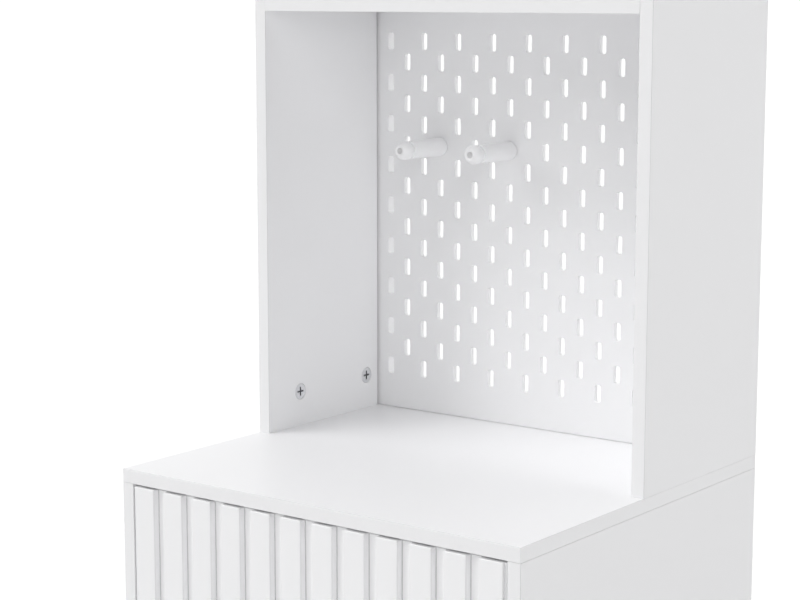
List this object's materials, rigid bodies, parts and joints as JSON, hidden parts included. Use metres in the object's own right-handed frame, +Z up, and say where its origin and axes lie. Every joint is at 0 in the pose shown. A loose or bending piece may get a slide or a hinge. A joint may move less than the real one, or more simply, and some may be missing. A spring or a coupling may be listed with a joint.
{
  "type": "hall stand with bench",
  "caption": "Narrow hall stand: a bench cabinet with fluted drawers carries an open hutch with a slotted pegboard niche, a shelf and a coat bay with a peg rail.",
  "frame": {"origin": "middle of the footprint on the floor", "axes": "+Z up, +X to the right seen from the front, -Y to the front, +Y to the wall"},
  "size_m": [0.415, 0.38, 1.8],
  "materials": {
    "white_board": "white melamine-faced chipboard, satin, eased edge band",
    "white_panel": "white lacquered thin hardboard, soft sheen",
    "white_lacquer": "white lacquered fibreboard with milled flutes",
    "white_peg": "white painted turned beech",
    "zinc_steel": "zinc plated sheet steel",
    "cam_zinc": "bare die-cast zinc",
    "white_plastic": "moulded white plastic"
  },
  "bodies": {
    "stand": {"bench_top": "white_board", "cabinet_back": "white_panel", "cabinet_bottom": "white_board", "cabinet_side_left": "white_board", "cabinet_side_right": "white_board", "cam_lock_lower_front_left": "cam_zinc", "cam_lock_lower_front_right": "cam_zinc", "cam_lock_lower_rear_left": "cam_zinc", "cam_lock_lower_rear_right": "cam_zinc", "cam_lock_shelf_front_left": "cam_zinc", "cam_lock_shelf_front_right": "cam_zinc", "cam_lock_shelf_rear_left": "cam_zinc", "cam_lock_shelf_rear_right": "cam_zinc", "cam_lock_upper_front_left": "cam_zinc", "cam_lock_upper_front_right": "cam_zinc", "cam_lock_upper_rear_left": "cam_zinc", "cam_lock_upper_rear_right": "cam_zinc", "coat_peg_left": "white_peg", "coat_peg_middle": "white_peg", "coat_peg_right": "white_peg", "coat_rail": "white_board", "foot_pad_front_left": "white_plastic", "foot_pad_front_right": "white_plastic", "foot_pad_rear_left": "white_plastic", "foot_pad_rear_right": "white_plastic", "hutch_side_left": "white_board", "hutch_side_right": "white_board", "niche_shelf": "white_board", "pegboard": "white_panel", "plinth_board_front": "white_board", "plinth_board_rear": "white_board", "slide_lower_left_cabinet": "zinc_steel", "slide_lower_right_cabinet": "zinc_steel", "slide_upper_left_cabinet": "zinc_steel", "slide_upper_right_cabinet": "zinc_steel", "top_board": "white_board", "upper_back_panel": "white_panel", "wall_bracket_left": "zinc_steel", "wall_bracket_right": "zinc_steel"},
    "drawer_upper": {"drawer_upper_back": "white_board", "drawer_upper_bottom": "white_panel", "drawer_upper_front": "white_lacquer", "drawer_upper_side_left": "white_board", "drawer_upper_side_right": "white_board", "slide_upper_left_drawer": "zinc_steel", "slide_upper_right_drawer": "zinc_steel"},
    "drawer_lower": {"drawer_lower_back": "white_board", "drawer_lower_bottom": "white_panel", "drawer_lower_front": "white_lacquer", "drawer_lower_side_left": "white_board", "drawer_lower_side_right": "white_board", "slide_lower_left_drawer": "zinc_steel", "slide_lower_right_drawer": "zinc_steel"},
    "peg_left": {"peg_left": "white_peg", "peg_left_stud": "white_plastic"},
    "peg_right": {"peg_right": "white_peg", "peg_right_stud": "white_plastic"}
  },
  "joints": [
    {"name": "drawer_upper_slide", "type": "slide", "parent": "stand", "child": "drawer_upper", "axis": [0, -1, 0], "range_m": [0, 0.22]},
    {"name": "drawer_lower_slide", "type": "slide", "parent": "stand", "child": "drawer_lower", "axis": [0, -1, 0], "range_m": [0, 0.22]},
    {"name": "peg_left_twist", "type": "hinge", "parent": "stand", "child": "peg_left", "pos_m": [-0.12, 0.16, 0.74215], "axis": [0, -1, 0], "range_deg": [0, 90]},
    {"name": "peg_right_twist", "type": "hinge", "parent": "stand", "child": "peg_right", "pos_m": [-0.04, 0.16, 0.74215], "axis": [0, -1, 0], "range_deg": [0, 90]}
  ]
}
